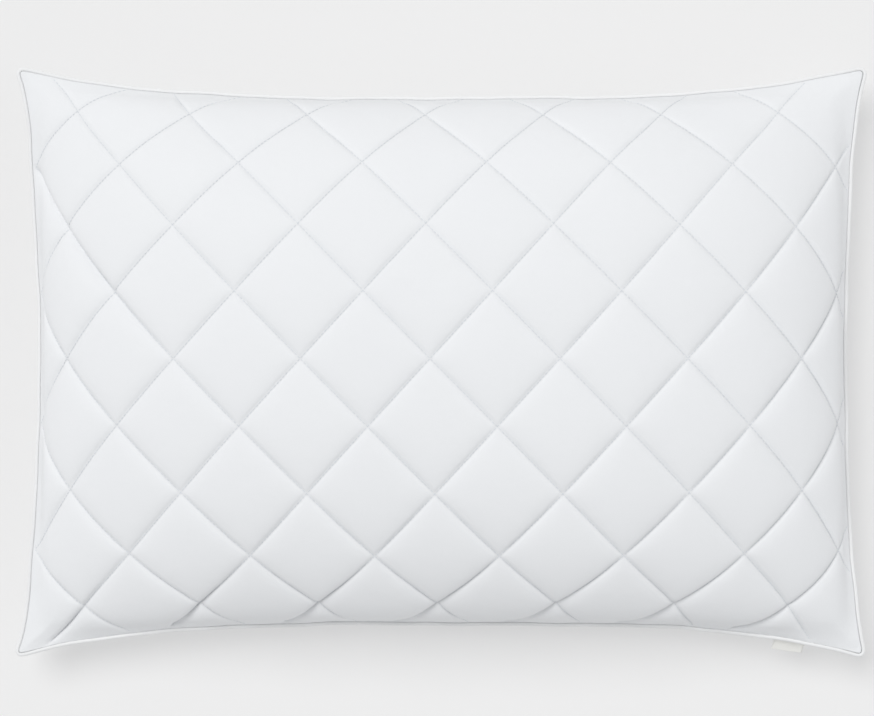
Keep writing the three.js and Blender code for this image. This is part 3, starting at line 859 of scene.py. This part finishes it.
def tape_finish(name):
    """The label's woven tape: fine ribs across, and fine warp along it."""
    color = (0.97, 0.965, 0.93)
    finish = Finish(name, color, 0.5, sheen=0.1)
    flat = finish.place("cloth")
    ribs = finish.wave(flat, "Y", 0.0005, distortion=0.4)
    warp = finish.wave(flat, "X", 0.0003)
    lint = finish.noise(flat, 700, detail=3)
    finish.bump(ribs, 0.00007)
    finish.bump(warp, 0.00003)
    finish.tint(lint, (0.95, 0.94, 0.90))
    finish.rough(ribs, 0.42, 0.6)
    return finish.material


PAINTED_FLOOR_GLOW = 0.38  # painted light: the floor glows, which keeps the shadow cast on it light


def floor_finish():
    finish = Finish("floor", (0.455, 0.452, 0.45), 0.7)
    # The emission is painted light: the floor glows, though it is no lamp, to lift the shadow on it.
    finish.shader.inputs["Emission Color"].default_value = (1, 1, 1, 1)
    finish.shader.inputs["Emission Strength"].default_value = PAINTED_FLOOR_GLOW
    grain = finish.noise(finish.place(), 3, detail=2)
    finish.tint(grain, (0.451, 0.448, 0.446))
    return finish.material


# ---- Pieces ------------------------------------------------------------------------------------

soft_white = cotton("face_cotton")


def finish_piece(piece, material, node, body="pillow"):
    """Gives a piece its material and says which CAD node it stands for."""
    piece.data.materials.append(material)
    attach(piece, body)
    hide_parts(node)


for panel, word in ((upper, "top"), (lower, "bottom")):
    face = face_fabric(f"{word}_face", panel, path, outward)
    finish_piece(face, soft_white, f"{word}_face_fabric")

    points, faces = panel.ply(WADDING_OUTER * panel.level, WADDING_INNER * panel.level, WADDING_FLOOR)
    layer = solid(f"{word}_wadding_layer", points, faces)
    finish_piece(layer, wadding_finish(f"{word}_wadding_fibre"), f"{word}_wadding")

    points, faces = panel.ply(BACKING_OUTER * panel.level, np.zeros(fine.shape), BACKING_FLOOR)
    flat = np.stack([coarse.x, coarse.y], -1).reshape(-1, 2)
    layer = solid(f"{word}_backing_layer", points, faces, np.concatenate([flat, flat]))
    finish_piece(layer, backing_finish(f"{word}_bonded_sheet"), f"{word}_backing")

    sewn = stitches(f"{word}_stitches", panel)
    # The quilting thread is white thread, greyed and tinted blue below the face cotton: partly painted
    # shade of the groove it lies in.
    thread = thread_finish(f"{word}_thread", (0.75, 0.78, 0.81))
    finish_piece(sewn, thread, f"{word}_quilting_thread")

# The filling, up to just inside the piping strip.
surfaces = []
for panel in (upper, lower):
    near = smooth_step(1 - fine.edge / FILLING_SETBACK_REACH)[..., None]
    outwards = np.stack([fine.x, fine.y, 0 * fine.x], -1)
    outwards /= np.linalg.norm(outwards, axis=-1, keepdims=True) + 1e-9
    surface = panel.at_level(np.full(fine.shape, FILLING_LEVEL), FILLING_FLOOR)
    surfaces.append((surface - FILLING_SETBACK * near * outwards)[coarse_in_fine])
points, faces = closed_sheet(coarse, *surfaces)
filling = solid("fibre_filling", points, faces)
finish_piece(filling, fibre_finish("filling_fibre"), "fibre_fill")

# The piping: a bias strip round a cord, and the line of stitches that closes it.
everywhere = np.ones(len(path))


def ring_section(middle, radius, sides):
    """A circle of a radius round a place out from the seam, as a section for swept()."""
    turns = 2 * math.pi * np.arange(sides) / sides
    return [
        (everywhere * (middle + radius * math.cos(t)), everywhere * (radius * math.sin(t)))
        for t in turns
    ]


step = np.arange(len(path))
gathers = 1 + ROLL_GATHERS * np.sin(step * 1.9 + 2 * np.sin(step * 0.21))
section = [(-FLANGE_WIDTH, FLANGE_LEVEL), (-FLANGE_NECK, FLANGE_LEVEL)]
section += [
    (ROLL_OFFSET + COVER_RADIUS * math.cos(t) * gathers, COVER_RADIUS * math.sin(t) * gathers)
    for t in np.linspace(math.pi - ROLL_OPENING, ROLL_OPENING - math.pi, ROLL_STEPS)
]
section += [(-FLANGE_NECK, -FLANGE_LEVEL), (-FLANGE_WIDTH, -FLANGE_LEVEL)]
section = [(everywhere * out, everywhere * up) for out, up in section]
points, faces, uv = swept(path, outward, section)
strip = solid("piping_strip", points, faces[:, ::-1], uv * np.array([1, SECTION_STEP]))
bias_cotton = cotton("piping_cotton", (0.86, 0.862, 0.862), turn=math.radians(45))
finish_piece(strip, bias_cotton, "piping_cover")

points, faces, uv = swept(path, outward, ring_section(ROLL_OFFSET, CORD_RADIUS, 10))
core = solid("piping_core", points, faces)
finish_piece(core, cord_finish("piping_cord_cotton"), "piping_cord")

points, faces, uv = swept(path, outward, ring_section(SEAM_THREAD_OFFSET, SEAM_THREAD_RADIUS, 5))
seam = solid("seam_stitching", points, faces)
finish_piece(seam, thread_finish("seam_sewing_thread", (0.87, 0.87, 0.87)), "seam_thread")


# ---- The label ---------------------------------------------------------------------------------

joint = frame["joints"][0]
hinge = np.array(joint["pos_m"]) / MM
leftward = np.array(joint["axis"])
label_out = np.array([-leftward[1], leftward[0], 0]) / math.hypot(leftward[0], leftward[1])
label_up = np.cross(leftward, label_out)


def tape(name, line, thickness):
    """A strip of tape as wide as the label, bent along a line of (out, up) places from the hinge."""
    line = np.array(line, float)
    direction = np.gradient(line, axis=0)
    direction /= np.linalg.norm(direction, axis=1, keepdims=True)
    normal = np.stack([-direction[:, 1], direction[:, 0]], -1) * thickness / 2
    outline = np.concatenate([line + normal, (line - normal)[::-1]])
    across = np.linspace(-LABEL_WIDTH / 2, LABEL_WIDTH / 2, LABEL_STEPS + 1)
    travelled = np.concatenate([[0], np.cumsum(np.linalg.norm(np.diff(line, axis=0), axis=1))])
    lengths = np.concatenate([travelled, travelled[::-1]])
    points, uv = [], []
    for place in across:
        middle = hinge + leftward * (place - LABEL_ASIDE)
        points.append(middle + outline[:, :1] * label_out + outline[:, 1:] * label_up)
        uv.append(np.stack([np.full(len(outline), place), lengths], -1))
    points, uv = np.stack(points), np.stack(uv)
    count = len(outline)
    here = (np.arange(len(across) - 1) * count)[:, None] + np.arange(count)[None]
    there = here + count
    quads = np.stack([here, np.roll(here, -1, 1), np.roll(there, -1, 1), there], -1).reshape(-1, 4)
    ends = []
    half = count // 2
    for start, flip in ((0, False), ((len(across) - 1) * count, True)):
        for k in range(half - 1):
            quad = [start + k, start + count - 1 - k, start + count - 2 - k, start + k + 1]
            ends.append(quad[::-1] if flip else quad)
    faces = np.concatenate([quads, np.array(ends)])
    return solid(name, points.reshape(-1, 3), faces, uv.reshape(-1, 2))


def folded_loop(length, gap, steps=24, fold_steps=8):
    """The loop of the folded tape: out along the upper run, round the fold and back below it."""
    run = []
    for k in range(steps + 1):
        t = k / steps
        run.append((length * t - gap, gap * (PINCHED + (1 - PINCHED) * smooth_step(t))))
    line = list(run)
    for k in range(1, fold_steps):
        angle = math.pi / 2 - math.pi * k / fold_steps
        line.append((length - gap + gap * math.cos(angle), gap * math.sin(angle)))
    line += [(x, -y) for x, y in run[::-1]]
    along = np.array([math.cos(LABEL_HANG), -math.sin(LABEL_HANG)])
    square = np.array([math.sin(LABEL_HANG), math.cos(LABEL_HANG)])
    return [tuple(x * along + (y - LABEL_LOW) * square) for x, y in line]


flap = tape("label_flap_tape", folded_loop(LABEL_LENGTH, FOLD_RADIUS), TAPE_THICKNESS)
finish_piece(flap, tape_finish("label_tape"), "label_flap", body="label")
tail = tape("label_tail_tape", TAIL_LINE, TAIL_THICKNESS)
finish_piece(tail, tape_finish("label_tail_weave"), "label_tail")

# ---- Floor, light and camera -------------------------------------------------------------------

FLOOR_SIZE = 14000
corners = [(-1, -1), (1, -1), (1, 1), (-1, 1)]
floor = solid("floor", [(x * FLOOR_SIZE / 2, y * FLOOR_SIZE / 2, 0) for x, y in corners], [[0, 1, 2, 3]])
floor.data.materials.append(floor_finish())

world = bpy.context.scene.world or bpy.data.worlds.new("studio")
bpy.context.scene.world = world
world.use_nodes = True
sky = world.node_tree.nodes["Background"]
sky.inputs["Color"].default_value = (0.97, 0.985, 1.0, 1)
sky.inputs["Strength"].default_value = 0.54


def soft_sun(name, towards, height, width, strength):
    """Soft light from a bearing and a height in degrees, spread over a wide part of the sky."""
    light = bpy.data.lights.new(name, "SUN")
    light.angle = math.radians(width)
    light.energy = strength
    lamp = bpy.data.objects.new(name, light)
    lamp.rotation_euler = (math.radians(90 - height), 0, math.radians(180 - towards))
    lamp.location = (0, 0, 2)
    bpy.context.scene.collection.objects.link(lamp)


soft_sun("key", towards=-43, height=60, width=32, strength=1.6)
soft_sun("fill", towards=100, height=14, width=55, strength=0.56)

CAMERA_PLACE = (-0.0039, 0.0023, 2.252)  # straight above, in metres
LENS = 117
camera_data = bpy.data.cameras.new("camera")
camera_data.lens = LENS
camera_data.sensor_width = 36
camera = bpy.data.objects.new("camera", camera_data)
camera.location = CAMERA_PLACE
bpy.context.scene.collection.objects.link(camera)
bpy.context.scene.camera = camera
bpy.context.scene.view_settings.view_transform = "Standard"

bpy.context.view_layer.update()
